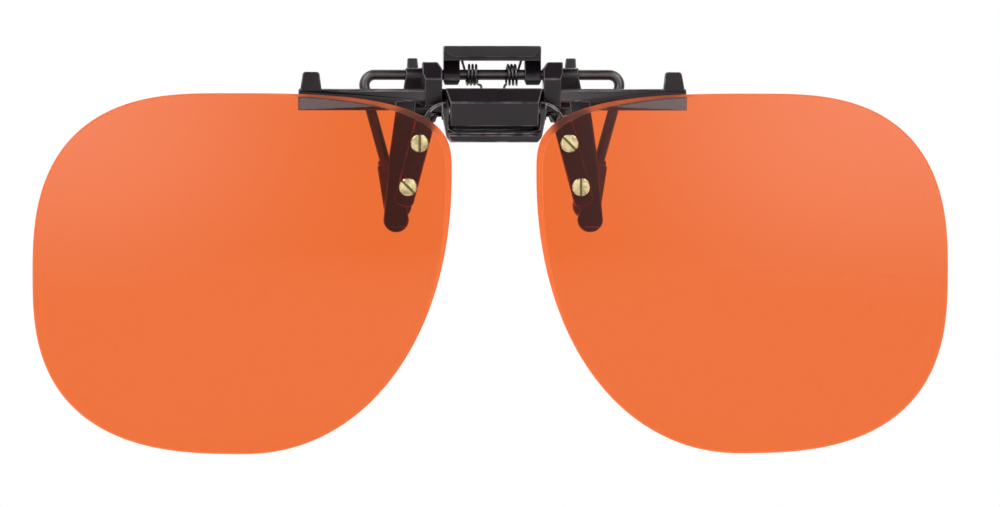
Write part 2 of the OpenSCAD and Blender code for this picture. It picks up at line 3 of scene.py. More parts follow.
import bmesh
import bpy
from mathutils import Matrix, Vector


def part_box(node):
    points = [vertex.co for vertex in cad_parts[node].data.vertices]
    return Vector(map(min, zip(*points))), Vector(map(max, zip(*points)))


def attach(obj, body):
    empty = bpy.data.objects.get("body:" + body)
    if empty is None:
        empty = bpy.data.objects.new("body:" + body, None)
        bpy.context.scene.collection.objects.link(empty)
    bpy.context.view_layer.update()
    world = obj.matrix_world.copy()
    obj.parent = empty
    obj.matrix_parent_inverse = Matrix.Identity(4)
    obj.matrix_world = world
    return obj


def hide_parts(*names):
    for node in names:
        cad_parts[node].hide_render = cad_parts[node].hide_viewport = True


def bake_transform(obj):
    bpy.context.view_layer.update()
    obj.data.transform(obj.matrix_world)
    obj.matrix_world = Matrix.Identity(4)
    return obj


# Clip-on filter glasses: two domed resin lenses on a flip-up carrier, a moulded clip body,
# and a sprung clamp of wire, lever and shoes. Lengths are millimetres and become metres, with
# MM, where a mesh or a tree's input is made.

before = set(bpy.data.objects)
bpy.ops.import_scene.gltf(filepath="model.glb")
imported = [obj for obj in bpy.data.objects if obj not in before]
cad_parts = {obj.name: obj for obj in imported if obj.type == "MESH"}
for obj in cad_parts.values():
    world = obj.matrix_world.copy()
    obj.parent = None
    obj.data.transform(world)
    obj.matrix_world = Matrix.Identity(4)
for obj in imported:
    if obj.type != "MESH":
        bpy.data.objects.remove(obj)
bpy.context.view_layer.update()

MM = 0.001


def span(node):
    """A CAD node's lowest and highest corner, in millimetres."""
    low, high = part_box(node)
    return low / MM, high / MM


# Sizes

LENS_LOW, LENS_HIGH = span("lens_right")
LENS_W = LENS_HIGH.x - LENS_LOW.x
LENS_H = LENS_HIGH.z - LENS_LOW.z
LENS_T = 2
LENS_BALL_R = 200
LENS_BEVEL = 0.1
POLISHED_EDGE_D = 1.4
POLISHED_EDGE_W = 0.65
SLOPE_DEPTH = 0.4
CORNER_STEPS = 56
DOME_RINGS = 24
RING_CROWDING = 1.5

# A lens reaches furthest forward midway between its screws, where their heads stand on it.
LENS_SEAT = (span("screw_upper_right")[0] + span("screw_lower_right")[1]) / 2
LENS_FRONT = -5.9

# The outline's furthest points, as shares of its width or height, and how full its corners are.
NOSE_DROP = 0.22
CROWN_SHARE = 0.555
CHEEK_DROP = 0.508
FOOT_SHARE = 0.5
UPPER_NOSE_FULLNESS = 3.15
LOWER_NOSE_FULLNESS = 2.13
CHEEK_FULLNESS = 2.7

WIRE_R = 0.75
WIRE_Y = span("clamp_wire")[0].y + WIRE_R
WIRE_Z = span("clamp_wire")[1].z - WIRE_R
BEND_R = 1.5
BEND_X = span("clamp_wire")[1].x - WIRE_R - BEND_R
LEG_LEAN = math.radians(15.5)
LEG_L = 15.5
BEND_STEPS = 14
LEG_STEPS = 8
RUN_STEPS = 20
WIRE_SIDES = 32

SPRING_WIRE_R = 0.18
COIL_R = 1.4
COIL_IN = 2.0
COIL_OUT = 3.62
COIL_TURNS = 3.25
TURN_STEPS = 28
FOOT_X = 1.6
FOOT_Y = -0.9
SPRING_HEAD_X = 4.2
SPRING_SIDES = 14

SHANK_R = 0.7
SHANK_SUNK = 0.2
SCREW_HOLE_R = 0.78
HEAD_CROWN = 0.05
HEAD_CHAMFER = 0.13
HEAD_EASING = 0.03
SLOT_W = 0.36
SLOT_D = 0.3
RING_PITCH = 0.11
RIM_FROM = 1.08
RIM_FULL = 1.2

# How far each screw's slot is turned, in degrees.
SCREW_SLOTS = {
    "screw_upper_left": 90,
    "screw_lower_left": -45,
    "screw_upper_right": -45,
    "screw_lower_right": 90,
}

# A moulding's edge is rounded where it turns by more than the first angle, in degrees. Faces that
# meet at less than the second are shaded as one.
ROUNDED_FROM = 25
SMOOTH_BELOW = 20

# The same for screws, and the angles from which a crease stays between faces.
HEAD_ROUNDED_FROM = 45
LENS_CREASE = 30
SCREW_CREASE = 32
WIRE_CREASE = 35


# Making node trees

def add(tree, kind, values=(), **settings):
    """A new node. The values are its inputs, by name or place: numbers, or sockets to join."""
    node = tree.nodes.new(kind)
    for name, value in settings.items():
        setattr(node, name, value)
    for key, value in dict(values).items():
        if isinstance(value, bpy.types.NodeSocket):
            tree.links.new(value, node.inputs[key])
        else:
            node.inputs[key].default_value = value
    return node


def sums(tree, operation, *values):
    """The result of one arithmetic step, or of the same step from value to value."""
    while len(values) > 2:
        values = (sums(tree, operation, *values[:2]), *values[2:])
    return add(tree, "ShaderNodeMath", enumerate(values), operation=operation).outputs[0]


def vector_sums(tree, operation, *values):
    """The vector or number that comes out of one vector step."""
    node = add(tree, "ShaderNodeVectorMath", enumerate(values), operation=operation)
    number = operation in ("DOT_PRODUCT", "LENGTH", "DISTANCE")
    return node.outputs["Value" if number else "Vector"]


def ramp(tree, value, low, high, at_low=0.0, at_high=1.0):
    """A soft step of the value, from at_low below low to at_high above high."""
    node = add(tree, "ShaderNodeMapRange", {
        "Value": value, "From Min": low, "From Max": high, "To Min": at_low, "To Max": at_high,
    }, interpolation_type="SMOOTHSTEP")
    return node.outputs["Result"]


def between(tree, share, first, second):
    """The first number where the share is 0 and the second where it is 1."""
    return add(
        tree, "ShaderNodeMix", {0: share, 2: first, 3: second}, data_type="FLOAT"
    ).outputs[0]


def new_tree(name, kind, inputs, outputs):
    """A node group with its sockets. Returns the tree, its input node and its output node."""
    tree = bpy.data.node_groups.new(name, kind)
    for in_out, sockets in (("INPUT", inputs), ("OUTPUT", outputs)):
        for socket_name, socket_kind in sockets.items():
            tree.interface.new_socket(
                socket_name, in_out=in_out, socket_type=f"NodeSocket{socket_kind}"
            )
    return tree, tree.nodes.new("NodeGroupInput"), tree.nodes.new("NodeGroupOutput")


def give(tree, node, **sockets):
    """Joins sockets to a node's inputs, with spaces for underscores in their names."""
    for name, socket in sockets.items():
        tree.links.new(socket, node.inputs[name.replace("_", " ")])


def noise(tree, place, size, detail, distortion=0.0):
    """Soft noise about 0.5, with bumps of the given size."""
    return add(tree, "ShaderNodeTexNoise", {
        "Vector": place, "Scale": sums(tree, "DIVIDE", 1.0, size), "Detail": detail,
        "Distortion": distortion,
    }).outputs["Fac"]


# Shader groups that several finishes share

def make_fine_grain():
    """The skin of a moulding or a rubbed metal: a fine grain and broad, faint patches."""
    tree, given, out = new_tree(
        "fine_grain", "ShaderNodeTree",
        {"Grain Size": "Float", "Patch Size": "Float"},
        {"Grain": "Float", "Patches": "Float"},
    )
    place = add(tree, "ShaderNodeTexCoord").outputs["Object"]
    give(
        tree, out,
        Grain=noise(tree, place, given.outputs["Grain Size"], 3.0),
        Patches=noise(tree, place, given.outputs["Patch Size"], 2.0),
    )
    return tree


def make_edge_wear_and_highlight():
    """A mask of edges that rubbing wears bright and that carry a painted highlight, broken up by
    noise.
    """
    tree, given, out = new_tree(
        "edge_rub", "ShaderNodeTree",
        {"Edge": "Float", "Patch Size": "Float"},
        {"Rubbed": "Float"},
    )
    place = add(tree, "ShaderNodeTexCoord").outputs["Object"]
    patches = noise(tree, place, given.outputs["Patch Size"], 3.0)
    patchiness = ramp(tree, patches, 0.38, 0.66, 0.12, 1.0)
    give(tree, out, Rubbed=sums(tree, "MULTIPLY", given.outputs["Edge"], patchiness))
    return tree


def make_drawn_streaks():
    """Long streaks that drawing leaves along a wire, from its own length and round."""
    tree, given, out = new_tree(
        "drawn_streaks", "ShaderNodeTree",
        {"Streak Length": "Float", "Streaks Round": "Float"},
        {"Streaks": "Float"},
    )
    along = add(tree, "ShaderNodeAttribute", attribute_name="along").outputs["Fac"]
    turn = sums(
        tree, "MULTIPLY",
        add(tree, "ShaderNodeAttribute", attribute_name="round").outputs["Fac"], 2 * math.pi,
    )
    place = add(tree, "ShaderNodeCombineXYZ", {
        "X": sums(tree, "DIVIDE", along, given.outputs["Streak Length"]),
        "Y": sums(tree, "MULTIPLY", sums(tree, "COSINE", turn), given.outputs["Streaks Round"]),
        "Z": sums(tree, "MULTIPLY", sums(tree, "SINE", turn), given.outputs["Streaks Round"]),
    })
    give(tree, out, Streaks=noise(tree, place.outputs[0], 1.0, 4.0))
    return tree


def make_handling_marks():
    """Faint smears and specks of dust that handling leaves on a polished surface."""
    tree, given, out = new_tree(
        "handling_marks", "ShaderNodeTree",
        {"Smear Size": "Float", "Speck Size": "Float"},
        {"Smears": "Float", "Specks": "Float"},
    )
    place = add(tree, "ShaderNodeTexCoord").outputs["Object"]
    smears = noise(tree, place, given.outputs["Smear Size"], 4.0, distortion=1.2)
    specks = add(tree, "ShaderNodeTexVoronoi", {
        "Vector": place,
        "Scale": sums(tree, "DIVIDE", 1.0, given.outputs["Speck Size"]),
        "Randomness": 1.0,
    })
    give(
        tree, out,
        Smears=ramp(tree, smears, 0.45, 0.75),
        Specks=ramp(tree, specks.outputs["Distance"], 0.05, 0.12, 1.0, 0.0),
    )
    return tree


# Finishes

def new_material(name, **sockets):
    """A material with a Principled shader. Sockets are its plain values, by socket name."""
    material = bpy.data.materials.new(name)
    material.use_nodes = True
    tree = material.node_tree
    skin = tree.nodes["Principled BSDF"]
    for key, value in sockets.items():
        skin.inputs[key.replace("_", " ")].default_value = value
    return material, tree, skin


def effect(tree, group, **values):
    """A shader group placed in a material with its own values. Returns what it puts out."""
    named = {key.replace("_", " "): value for key, value in values.items()}
    return add(tree, "ShaderNodeGroup", named, node_tree=group).outputs


def blend_colour(tree, mask, first, second):
    """The first colour where the mask is 0 and the second where it is 1."""
    first, second = (
        colour if isinstance(colour, bpy.types.NodeSocket) else (*colour, 1)
        for colour in (first, second)
    )
    return add(
        tree, "ShaderNodeMix", {0: mask, 6: first, 7: second}, data_type="RGBA"
    ).outputs[2]


def grooves(tree, skin, height, depth, strength=0.5):
    """Bumps of the given depth in millimetres on a shader."""
    bump = add(tree, "ShaderNodeBump", {
        "Height": height, "Strength": strength, "Distance": depth * MM,
    })
    give(tree, skin, Normal=bump.outputs[0])


def make_black_moulding(groups):
    """Black nylon from a polished mould: a fine grain, faint patches, and edges lighter from
    rubbing and a painted highlight.
    """
    material, tree, skin = new_material(
        "polished_black_nylon", IOR=1.5, Specular_IOR_Level=0.28
    )
    grain = effect(tree, groups["fine_grain"], Grain_Size=0.14 * MM, Patch_Size=6 * MM)
    eased_edge = add(tree, "ShaderNodeAttribute", attribute_name="eased_edge").outputs["Fac"]
    wear_and_highlight = effect(tree, groups["edge_rub"], Edge=eased_edge, Patch_Size=2.2 * MM)
    body = blend_colour(
        tree, grain["Patches"], (0.0058, 0.0036, 0.0052), (0.0082, 0.0050, 0.0072)
    )
    # Rounded edges are lighter: partly wear, partly a painted highlight of edges catching light.
    give(
        tree, skin,
        Base_Color=blend_colour(tree, wear_and_highlight["Rubbed"], body, (0.165, 0.145, 0.152)),
        Roughness=ramp(tree, grain["Patches"], 0.3, 0.7, 0.21, 0.26),
    )
    grooves(tree, skin, grain["Grain"], 0.003, 0.3)
    return material


def make_orange_lens(groups):
    """Clear orange resin that lets lamps through, with a satin edge and the faintest smears."""
    colour = (0.845, 0.152, 0.026, 1)
    through = tuple(math.sqrt(part) for part in colour[:3]) + (1,)
    material, tree, skin = new_material(
        "clear_orange_resin", Base_Color=colour, Transmission_Weight=1.0, IOR=1.45,
        Specular_Tint=(0.6, 0.6, 0.6, 1),
    )
    marks = effect(tree, groups["handling_marks"], Smear_Size=14 * MM, Speck_Size=2.4 * MM)
    edge = add(tree, "ShaderNodeAttribute", attribute_name="edge").outputs["Fac"]
    give(tree, skin, Roughness=sums(
        tree, "ADD",
        sums(tree, "MULTIPLY", marks["Smears"], 0.02),
        sums(tree, "MULTIPLY", marks["Specks"], 0.05),
        sums(tree, "MULTIPLY", edge, 0.75),
    ))
    clear = add(tree, "ShaderNodeBsdfTransparent", {"Color": through})
    mix = add(tree, "ShaderNodeMixShader", {
        0: add(tree, "ShaderNodeLightPath").outputs["Is Shadow Ray"],
        1: skin.outputs[0],
        2: clear.outputs[0],
    })
    give(tree, tree.nodes["Material Output"], Surface=mix.outputs[0])
    return material


def make_screw_brass(groups):
    """Turned brass: rings round each head, rims lighter from rubbing and a painted highlight, and a
    slot painted dark as shade.
    """
    material, tree, skin = new_material("turned_brass", Metallic=1.0)
    place = add(tree, "ShaderNodeAttribute", attribute_name="head_place").outputs["Vector"]
    flat = vector_sums(tree, "MULTIPLY", place, (1, 1, 0))
    radius = vector_sums(tree, "LENGTH", flat)
    rings = sums(tree, "SINE", sums(tree, "MULTIPLY", radius, 2 * math.pi / (RING_PITCH * MM)))
    grain = effect(tree, groups["fine_grain"], Grain_Size=0.06 * MM, Patch_Size=1.5 * MM)
    # The rim is lighter: rubbed brass and a painted highlight on the chamfer.
    rim = ramp(tree, radius, RIM_FROM * MM, RIM_FULL * MM)
    wear_and_highlight = effect(tree, groups["edge_rub"], Edge=rim, Patch_Size=0.3 * MM)
    tarnish = blend_colour(
        tree, ramp(tree, grain["Patches"], 0.35, 0.7), (0.47, 0.39, 0.21), (0.24, 0.185, 0.092)
    )
    bright = blend_colour(tree, wear_and_highlight["Rubbed"], tarnish, (0.86, 0.76, 0.49))
    height = add(tree, "ShaderNodeSeparateXYZ", {0: place}).outputs["Z"]
    # The slot's inside is painted near black: painted shade in the recess.
    painted_slot_shade = ramp(tree, height, 0.28 * MM, 0.40 * MM, 1.0, 0.0)
    give(
        tree, skin,
        Base_Color=blend_colour(tree, painted_slot_shade, bright, (0.10, 0.08, 0.035)),
        Roughness=ramp(tree, grain["Grain"], 0.3, 0.7, 0.2, 0.3),
    )
    relief = sums(tree, "ADD", rings, sums(tree, "MULTIPLY", grain["Grain"], 0.8))
    grooves(tree, skin, relief, 0.004, 0.4)
    return material


def make_wire(name, groups, dark, light, streak_length, rough):
    """Drawn steel wire, darkened, with streaks along it and a duller or brighter skin."""
    material, tree, skin = new_material(name, Metallic=1.0)
    streaks = effect(
        tree, groups["drawn_streaks"], Streak_Length=streak_length * MM, Streaks_Round=4.0
    )["Streaks"]
    grain = effect(tree, groups["fine_grain"], Grain_Size=0.08 * MM, Patch_Size=3 * MM)
    tone = sums(
        tree, "ADD",
        sums(tree, "MULTIPLY", streaks, 0.6), sums(tree, "MULTIPLY", grain["Patches"], 0.4),
    )
    give(
        tree, skin,
        Base_Color=blend_colour(tree, ramp(tree, tone, 0.35, 0.65), dark, light),
        Roughness=ramp(tree, tone, 0.3, 0.7, rough, rough + 0.12),
    )
    grooves(tree, skin, streaks, 0.01)
    return material


def make_pin_steel(groups):
    """Bright ground steel with a fine grain."""
    material, tree, skin = new_material("ground_steel", Metallic=1.0)
    grain = effect(tree, groups["fine_grain"], Grain_Size=0.05 * MM, Patch_Size=0.8 * MM)
    give(
        tree, skin,
        Base_Color=blend_colour(
            tree, grain["Patches"], (0.46, 0.46, 0.47), (0.60, 0.60, 0.61)
        ),
        Roughness=ramp(tree, grain["Grain"], 0.3, 0.7, 0.22, 0.38),
    )
    grooves(tree, skin, grain["Grain"], 0.004)
    return material


def make_soft_sleeve(groups):
    """Matt black rubber: a velvety grain and paler, dusty patches."""
    material, tree, skin = new_material("matt_rubber", IOR=1.45)
    grain = effect(tree, groups["fine_grain"], Grain_Size=0.12 * MM, Patch_Size=1.8 * MM)
    give(
        tree, skin,
        Base_Color=blend_colour(
            tree, ramp(tree, grain["Patches"], 0.3, 0.7),
            (0.034, 0.029, 0.030), (0.060, 0.052, 0.052),
        ),
        Roughness=ramp(tree, grain["Grain"], 0.3, 0.7, 0.55, 0.75),
    )
    grooves(tree, skin, grain["Grain"], 0.02, 0.7)
    return material


# Geometry trees

def upward(tree, amount):
    """A vector of the given amount along Z, to move a shape by or to turn it round that line."""
    return add(tree, "ShaderNodeCombineXYZ", {2: amount}).outputs[0]


def finish_tree(tree, out, geometry, material):
    """Ends a tree: real geometry, smooth shading and its material."""
    real = add(tree, "GeometryNodeRealizeInstances", {0: geometry})
    smooth = add(tree, "GeometryNodeSetShadeSmooth", {"Geometry": real.outputs[0]})
    painted = add(tree, "GeometryNodeSetMaterial", {
        "Geometry": smooth.outputs[0], "Material": material,
    })
    tree.links.new(painted.outputs[0], out.inputs[0])


def make_ball_face():
    """How far back a ball's front lies at a place, looking along Y."""
    tree, given, out = new_tree(
        "ball_face", "GeometryNodeTree",
        {"Place": "Vector", "Ball Centre": "Vector", "Ball Radius": "Float"},
        {"Depth": "Float"},
    )
    away = vector_sums(
        tree, "MULTIPLY",
        vector_sums(tree, "SUBTRACT", given.outputs["Place"], given.outputs["Ball Centre"]),
        (1, 0, 1),
    )
    radius = given.outputs["Ball Radius"]
    reach = sums(
        tree, "SUBTRACT",
        sums(tree, "MULTIPLY", radius, radius),
        vector_sums(tree, "DOT_PRODUCT", away, away),
    )
    centre = add(tree, "ShaderNodeSeparateXYZ", {0: given.outputs["Ball Centre"]})
    give(tree, out, Depth=sums(tree, "SUBTRACT", centre.outputs["Y"], sums(tree, "SQRT", reach)))
    return tree


def drilled(tree, solid, places, radius, depth):
    """The solid with a round hole from front to back at each place."""
    drills = add(tree, "GeometryNodeJoinGeometry")
    for place in places:
        drill = add(tree, "GeometryNodeMeshCylinder", {
            "Vertices": 32, "Radius": radius, "Depth": depth,
        })
        moved = add(tree, "GeometryNodeTransform", {
            "Geometry": drill.outputs["Mesh"], "Translation": place,
            "Rotation": (math.radians(90), 0, 0),
        })
        tree.links.new(moved.outputs[0], drills.inputs[0])
    return add(tree, "GeometryNodeMeshBoolean", {
        "Mesh 1": solid, "Mesh 2": drills.outputs[0],
    }, operation="DIFFERENCE", solver="EXACT").outputs["Mesh"]


def make_domed_lens(ball_face):
    """A domed lens from its outline: rings of points on two balls round one centre that crowd
    towards the rim, an edge that slopes where the lens reaches forward, and two screw holes."""
    tree, given, out = new_tree(
        "domed_lens", "GeometryNodeTree",
        {
            "Outline": "Geometry", "Middle": "Vector", "Ball Centre": "Vector",
            "Ball Radius": "Float", "Thickness": "Float", "Slope Start": "Float",
            "Slope Rate": "Float", "Slope Depth": "Float", "Edge Bevel": "Float",
            "Bevel Share": "Float", "Rings": "Int", "Ring Crowding": "Float",
            "Upper Hole": "Vector", "Lower Hole": "Vector", "Hole Radius": "Float",
            "Material": "Material",
        },
        {"Lens": "Geometry"},
    )
    size = given.outputs
    around = add(tree, "GeometryNodeAttributeDomainSize", {0: size["Outline"]})
    # Rows run from the middle of the front to its rim, over three rows of edge, and back to the
    # middle of the rear. Each face has one for its middle and one for every ring.
    rows = sums(tree, "ADD", sums(tree, "MULTIPLY", size["Rings"], 2.0), 5.0)
    grid = add(tree, "GeometryNodeMeshGrid", {
        "Vertices X": sums(tree, "ADD", around.outputs["Point Count"], 1.0),
        "Vertices Y": rows,
    })
    index = add(tree, "GeometryNodeInputIndex").outputs[0]
    column = sums(tree, "FLOOR", sums(tree, "DIVIDE", sums(tree, "ADD", index, 0.5), rows))
    row = sums(tree, "SUBTRACT", index, sums(tree, "MULTIPLY", column, rows))
    sample = add(tree, "GeometryNodeSampleIndex", {
        0: size["Outline"],
        "Index": sums(tree, "MODULO", column, around.outputs["Point Count"]),
    }, data_type="FLOAT_VECTOR")
    give(tree, sample, Value=add(tree, "GeometryNodeInputPosition").outputs[0])
    rim = sample.outputs[0]

    front_r = sums(tree, "ADD", size["Ball Radius"], size["Thickness"])

    def face(place, radius):
        return add(tree, "GeometryNodeGroup", {
            "Place": place, "Ball Centre": size["Ball Centre"], "Ball Radius": radius,
        }, node_tree=ball_face).outputs["Depth"]

    def slope_share(depth):
        short = sums(tree, "MAXIMUM", sums(tree, "SUBTRACT", size["Slope Start"], depth), 0.0)
        return sums(tree, "SUBTRACT", 1.0, sums(tree, "MULTIPLY", short, size["Slope Rate"]))

    def choose(last_row, before, after):
        test = sums(tree, "GREATER_THAN", row, sums(tree, "ADD", last_row, 0.5))
        return add(tree, "GeometryNodeSwitch", {
            "Switch": test, "False": before, "True": after,
        }, input_type="FLOAT").outputs[0]

    rim_front = face(rim, front_r)
    rim_rear = face(rim, size["Ball Radius"])
    step_back = sums(tree, "ADD", rim_front, size["Edge Bevel"])
    rows_left = sums(tree, "SUBTRACT", rows, 1.0, row)

    def crowded(step):
        left = sums(tree, "SUBTRACT", 1.0, sums(tree, "DIVIDE", step, size["Rings"]))
        left = sums(tree, "MAXIMUM", left, 0.0)
        return sums(tree, "SUBTRACT", 1.0, sums(tree, "POWER", left, size["Ring Crowding"]))

    ring_front = sums(
        tree, "MULTIPLY", crowded(row),
        sums(tree, "SUBTRACT", slope_share(rim_front), size["Bevel Share"]),
    )
    ring_rear = sums(
        tree, "MULTIPLY", crowded(rows_left),
        sums(tree, "SUBTRACT", 1.0, size["Bevel Share"]),
    )
    row_at = [sums(tree, "ADD", size["Rings"], float(step)) for step in range(4)]
    share = choose(
        row_at[0], ring_front,
        choose(row_at[1], slope_share(step_back), choose(row_at[3], 1.0, ring_rear)),
    )
    flat = vector_sums(
        tree, "ADD", size["Middle"],
        vector_sums(
            tree, "MULTIPLY",
            vector_sums(tree, "SUBTRACT", rim, size["Middle"]),
            add(tree, "ShaderNodeCombineXYZ", {0: share, 1: share, 2: share}).outputs[0],
        ),
    )
    slope_end = sums(
        tree, "MAXIMUM", step_back,
        sums(
            tree, "ADD", sums(tree, "MULTIPLY", size["Slope Start"], size["Slope Depth"]),
            sums(
                tree, "MULTIPLY", step_back, sums(tree, "SUBTRACT", 1.0, size["Slope Depth"]),
            ),
        ),
    )
    rear_bevel = sums(tree, "SUBTRACT", rim_rear, size["Edge Bevel"])
    depth = choose(
        row_at[0], face(flat, front_r),
        choose(
            row_at[1], step_back,
            choose(
                row_at[2], slope_end,
                choose(row_at[3], rear_bevel, face(flat, size["Ball Radius"])),
            ),
        ),
    )
    spot = add(tree, "ShaderNodeSeparateXYZ", {0: flat})
    placed = add(tree, "GeometryNodeSetPosition", {
        "Geometry": grid.outputs["Mesh"],
        "Position": add(tree, "ShaderNodeCombineXYZ", {
            0: spot.outputs["X"], 1: depth, 2: spot.outputs["Z"],
        }).outputs[0],
    })
    on_edge = sums(
        tree, "MULTIPLY",
        sums(tree, "GREATER_THAN", row, sums(tree, "SUBTRACT", row_at[0], 0.5)),
        sums(tree, "LESS_THAN", row, sums(tree, "ADD", row_at[3], 0.5)),
    )
    marked = add(tree, "GeometryNodeStoreNamedAttribute", {
        "Geometry": placed.outputs[0], "Name": "edge", "Value": on_edge,
    }, data_type="FLOAT", domain="POINT")
    closed = add(tree, "GeometryNodeMergeByDistance", {
        "Geometry": marked.outputs[0], "Distance": 0.002 * MM,
    })
    whole = drilled(
        tree, closed.outputs[0], (size["Upper Hole"], size["Lower Hole"]),
        size["Hole Radius"], sums(tree, "MULTIPLY", size["Thickness"], 3.0),
    )
    finish_tree(tree, out, whole, size["Material"])
    return tree


def make_swept_wire():
    """A round wire along a path, with flat cut ends. It keeps how far along and round it goes."""
    tree, given, out = new_tree(
        "swept_wire", "GeometryNodeTree",
        {"Path": "Geometry", "Wire Radius": "Float", "Sides": "Int", "Material": "Material"},
        {"Wire": "Geometry"},
    )
    line = add(tree, "GeometryNodeMeshToCurve", {0: given.outputs["Path"]})
    along = add(tree, "GeometryNodeStoreNamedAttribute", {
        "Geometry": line.outputs[0], "Name": "along",
        "Value": add(tree, "GeometryNodeSplineParameter").outputs["Length"],
    }, data_type="FLOAT", domain="POINT")
    ring = add(tree, "GeometryNodeCurvePrimitiveCircle", {
        "Resolution": given.outputs["Sides"], "Radius": given.outputs["Wire Radius"],
    })
    around = add(tree, "GeometryNodeStoreNamedAttribute", {
        "Geometry": ring.outputs[0], "Name": "round",
        "Value": add(tree, "GeometryNodeSplineParameter").outputs["Factor"],
    }, data_type="FLOAT", domain="POINT")
    swept = add(tree, "GeometryNodeCurveToMesh", {
        "Curve": along.outputs[0], "Profile Curve": around.outputs[0], "Fill Caps": True,
    })
    finish_tree(tree, out, swept.outputs[0], given.outputs["Material"])
    return tree


def crowned_head(tree, place, radius, height, crown, chamfer):
    """A screw's head, upright on its base, with a crowned top that is chamfered at its rim."""
    disc = add(tree, "GeometryNodeMeshCylinder", {
        "Vertices": 64, "Fill Segments": 10, "Radius": radius, "Depth": height,
    }, fill_type="TRIANGLE_FAN")
    half = sums(tree, "MULTIPLY", height, 0.5)
    lifted = add(tree, "GeometryNodeTransform", {
        "Geometry": disc.outputs["Mesh"], "Translation": upward(tree, half),
    })
    reach = sums(
        tree, "DIVIDE",
        vector_sums(tree, "LENGTH", vector_sums(tree, "MULTIPLY", place, (1, 1, 0))), radius,
    )
    at_rim = sums(tree, "GREATER_THAN", reach, 0.95)
    sunk = sums(
        tree, "ADD", sums(tree, "MULTIPLY", reach, reach, crown),
        sums(tree, "MULTIPLY", at_rim, chamfer),
    )
    above = add(tree, "ShaderNodeSeparateXYZ", {0: place}).outputs["Z"]
    return add(tree, "GeometryNodeSetPosition", {
        "Geometry": lifted.outputs[0], "Selection": sums(tree, "GREATER_THAN", above, half),
        "Offset": upward(tree, sums(tree, "MULTIPLY", sunk, -1.0)),
    })


def make_slotted_screw():
    """A screw with a crowned, chamfered head, a slot across it and a plain shank. It is made
    upright, keeps each point's place on the head, and is laid down facing the front."""
    tree, given, out = new_tree(
        "slotted_screw", "GeometryNodeTree",
        {
            "Place": "Vector", "Head Radius": "Float", "Head Height": "Float",
            "Crown": "Float", "Chamfer": "Float", "Slot Width": "Float",
            "Slot Depth": "Float", "Slot Turn": "Float", "Shank Radius": "Float",
            "Shank Length": "Float", "Material": "Material",
        },
        {"Screw": "Geometry"},
    )
    size = given.outputs
    head_r, head_h, shank_l = size["Head Radius"], size["Head Height"], size["Shank Length"]
    place = add(tree, "GeometryNodeInputPosition").outputs[0]
    head = crowned_head(tree, place, head_r, head_h, size["Crown"], size["Chamfer"])
    rod = add(tree, "GeometryNodeMeshCylinder", {
        "Vertices": 32, "Radius": size["Shank Radius"],
        "Depth": sums(tree, "ADD", shank_l, SHANK_SUNK * MM),
    })
    shank = add(tree, "GeometryNodeTransform", {
        "Geometry": rod.outputs["Mesh"],
        "Translation": upward(tree, sums(
            tree, "SUBTRACT", SHANK_SUNK / 2 * MM, sums(tree, "MULTIPLY", shank_l, 0.5),
        )),
    })
    whole = add(tree, "GeometryNodeMeshBoolean", operation="UNION", solver="EXACT")
    for part in (head, shank):
        tree.links.new(part.outputs[0], whole.inputs["Mesh 2"])
    cutter = add(tree, "GeometryNodeMeshCube", {
        "Size": add(tree, "ShaderNodeCombineXYZ", {
            0: sums(tree, "MULTIPLY", head_r, 3.0), 1: size["Slot Width"],
            2: sums(tree, "MULTIPLY", size["Slot Depth"], 2.0),
        }).outputs[0],
    })
    saw = add(tree, "GeometryNodeTransform", {
        "Geometry": cutter.outputs["Mesh"], "Translation": upward(tree, head_h),
        "Rotation": upward(tree, size["Slot Turn"]),
    })
    slotted = add(tree, "GeometryNodeMeshBoolean", {
        "Mesh 1": whole.outputs["Mesh"], "Mesh 2": saw.outputs[0],
    }, operation="DIFFERENCE", solver="EXACT")
    kept = add(tree, "GeometryNodeStoreNamedAttribute", {
        "Geometry": slotted.outputs["Mesh"], "Name": "head_place", "Value": place,
    }, data_type="FLOAT_VECTOR", domain="POINT")
    laid = add(tree, "GeometryNodeTransform", {
        "Geometry": kept.outputs[0], "Translation": size["Place"],
        "Rotation": (math.radians(90), 0, 0),
    })
    finish_tree(tree, out, laid.outputs[0], size["Material"])
    return tree


# From trees and nodes to pieces

def settle(piece, body, slot, *nodes):
    """Puts a finished piece on its body and in its nodes' place. The slot is not used."""
    if body:
        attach(piece, body)
    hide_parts(*nodes)


def baked(piece):
    """Turns a piece and its live modifiers into a plain mesh."""
    depsgraph = bpy.context.evaluated_depsgraph_get()
    mesh = bpy.data.meshes.new_from_object(
        piece.evaluated_get(depsgraph), preserve_all_data_layers=True, depsgraph=depsgraph
    )
    piece.modifiers.clear()
    piece.data = mesh
    return piece


def grown(name, tree, crease, start=None, bevel=0.0, **inputs):
    """A piece that a tree grows, from a start mesh where the tree takes one."""
    piece = bpy.data.objects.new(name, start or bpy.data.meshes.new(name))
    bpy.context.scene.collection.objects.link(piece)
    modifier = piece.modifiers.new(tree.name, "NODES")
    modifier.node_group = tree
    for item in tree.interface.items_tree:
        key = item.name.replace(" ", "_").lower()
        if item.in_out == "INPUT" and key in inputs:
            modifier[item.identifier] = inputs[key]
    if bevel:
        eased_edges = piece.modifiers.new("eased_edges", "BEVEL")
        eased_edges.width = bevel * MM
        eased_edges.segments = 1
        eased_edges.limit_method = "ANGLE"
        eased_edges.angle_limit = math.radians(HEAD_ROUNDED_FROM)
    baked(piece)
    piece.data.shade_smooth()
    piece.data.set_sharp_from_angle(angle=math.radians(crease))
    return piece


